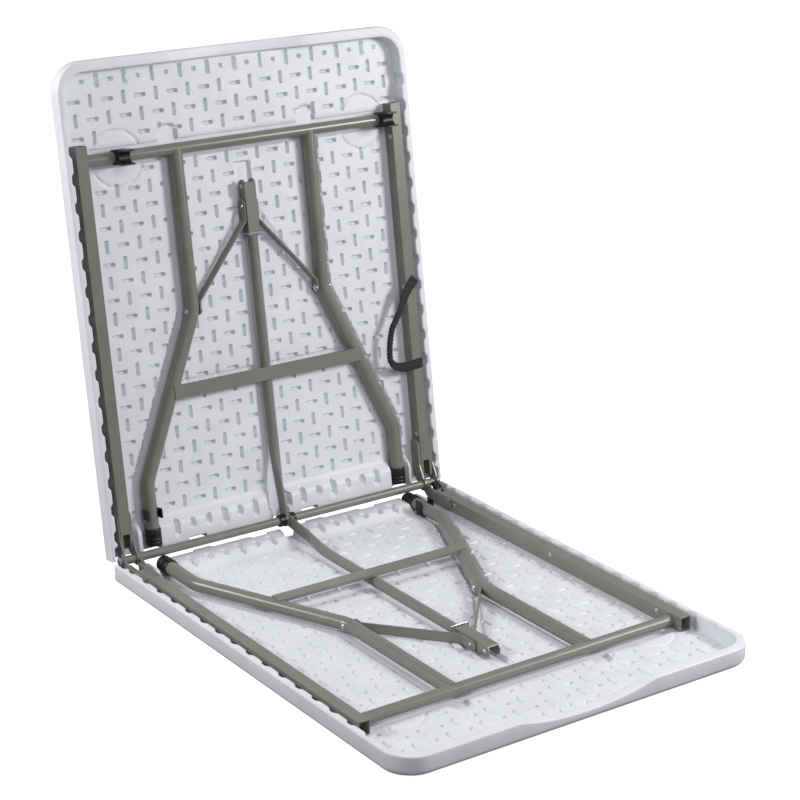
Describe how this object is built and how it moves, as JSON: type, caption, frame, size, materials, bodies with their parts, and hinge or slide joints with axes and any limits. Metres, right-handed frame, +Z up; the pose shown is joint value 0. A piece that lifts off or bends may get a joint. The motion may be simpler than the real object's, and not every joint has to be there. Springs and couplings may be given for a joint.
{
  "type": "folding table",
  "caption": "Bi-fold moulded table, half open on its centre hinge, with folding steel leg frames, braces and a carry strap.",
  "frame": {"origin": "centre of the bounding box at floor level", "axes": "+X from the hinge towards the outer end of the lower half, +Y along the hinge, +Z up"},
  "size_m": [1.0824, 0.74, 0.9245],
  "materials": {
    "table_top": "textured matte",
    "frame_steel": "satin powder coat",
    "plated_hardware": "zinc plated",
    "black_plastic": "satin",
    "webbing": "woven"
  },
  "bodies": {
    "lower_half": {"lower_top": "table_top", "lower_rail_near": "frame_steel", "lower_rail_far": "frame_steel", "lower_hinge_plate_near_inner": "frame_steel", "lower_hinge_plate_near_outer": "frame_steel", "lower_hinge_plate_far_inner": "frame_steel", "lower_hinge_plate_far_outer": "frame_steel", "hinge_rod": "frame_steel", "rod_nut_near": "plated_hardware", "rod_nut_far": "plated_hardware", "rod_spacer_near": "black_plastic", "rod_spacer_far": "black_plastic"},
    "upper_half": {"upper_top": "table_top", "upper_rail_near": "frame_steel", "upper_rail_far": "frame_steel", "upper_hinge_plate_near_inner": "frame_steel", "upper_hinge_plate_near_outer": "frame_steel", "upper_hinge_plate_far_inner": "frame_steel", "upper_hinge_plate_far_outer": "frame_steel", "close_clip_near": "black_plastic", "close_clip_far": "black_plastic", "carry_strap": "webbing"},
    "lower_legs": {"lower_cross_tube": "frame_steel", "lower_leg_near": "frame_steel", "lower_leg_far": "frame_steel", "lower_leg_crossbar": "frame_steel", "lower_foot_cap_near": "black_plastic", "lower_foot_cap_far": "black_plastic", "lower_leg_clip": "black_plastic"},
    "lower_brace": {"lower_centre_tube": "frame_steel", "lower_centre_fork": "frame_steel", "lower_fork_pin": "plated_hardware"},
    "lower_struts": {"lower_strut_near": "frame_steel", "lower_strut_far": "frame_steel", "lower_strut_rivet_near": "plated_hardware", "lower_strut_rivet_far": "plated_hardware"},
    "lower_ring": {"lower_lock_ring": "plated_hardware"},
    "upper_legs": {"upper_cross_tube": "frame_steel", "upper_leg_near": "frame_steel", "upper_leg_far": "frame_steel", "upper_leg_crossbar": "frame_steel", "upper_foot_cap_near": "black_plastic", "upper_foot_cap_far": "black_plastic", "upper_leg_clip": "black_plastic"},
    "upper_brace": {"upper_centre_tube": "frame_steel", "upper_centre_fork": "frame_steel", "upper_fork_pin": "plated_hardware"},
    "upper_struts": {"upper_strut_near": "frame_steel", "upper_strut_far": "frame_steel", "upper_strut_rivet_near": "plated_hardware", "upper_strut_rivet_far": "plated_hardware"},
    "upper_ring": {"upper_lock_ring": "plated_hardware"},
    "lock_lever": {"hinge_lock_lever": "black_plastic"}
  },
  "joints": [
    {"name": "centre_fold", "type": "hinge", "parent": "lower_half", "child": "upper_half", "pos_m": [-0.35882, 0, 0.0375], "axis": [0, 1, 0], "range_deg": [-80.6, 99.4]},
    {"name": "lower_leg_fold", "type": "hinge", "parent": "lower_half", "child": "lower_legs", "pos_m": [0.36568, 0, 0.02], "axis": [0, -1, 0], "range_deg": [-90, 0]},
    {"name": "lower_brace_swing", "type": "hinge", "parent": "lower_half", "child": "lower_brace", "pos_m": [-0.35882, 0, 0.0375], "axis": [0, 1, 0], "range_deg": [-23.2, 0]},
    {"name": "lower_strut_turn", "type": "hinge", "parent": "lower_brace", "child": "lower_struts", "pos_m": [0.2424, 0, 0.018], "axis": [0, -1, 0], "range_deg": [-181.4, 0]},
    {"name": "lower_ring_slide", "type": "slide", "parent": "lower_brace", "child": "lower_ring", "axis": [1, 0, 0], "range_m": [-0.05, 0.008]},
    {"name": "upper_leg_fold", "type": "hinge", "parent": "upper_half", "child": "upper_legs", "pos_m": [-0.49442, 0, 0.74941], "axis": [0, 1, 0], "range_deg": [-90, 0]},
    {"name": "upper_brace_swing", "type": "hinge", "parent": "upper_half", "child": "upper_brace", "pos_m": [-0.35882, 0, 0.0375], "axis": [0, -1, 0], "range_deg": [-23.2, 0]},
    {"name": "upper_strut_turn", "type": "hinge", "parent": "upper_brace", "child": "upper_struts", "pos_m": [-0.47625, 0, 0.62746], "axis": [0, 1, 0], "range_deg": [-181.4, 0]},
    {"name": "upper_ring_slide", "type": "slide", "parent": "upper_brace", "child": "upper_ring", "axis": [-0.1633, 0, 0.9866], "range_m": [-0.05, 0.008]},
    {"name": "lever_press", "type": "hinge", "parent": "lower_half", "child": "lock_lever", "pos_m": [-0.32482, 0.337, 0.024], "axis": [0, 1, 0], "range_deg": [0, 25], "stiffness_Nm_per_rad": 0.08, "springref_deg": -5.73}
  ],
  "couplings": [
    {"joint": "lower_brace_swing", "follows": "lower_leg_fold", "ratio": 0.2566},
    {"joint": "lower_strut_turn", "follows": "lower_leg_fold", "ratio": 2.0134},
    {"joint": "upper_brace_swing", "follows": "upper_leg_fold", "ratio": 0.2566},
    {"joint": "upper_strut_turn", "follows": "upper_leg_fold", "ratio": 2.0134}
  ]
}
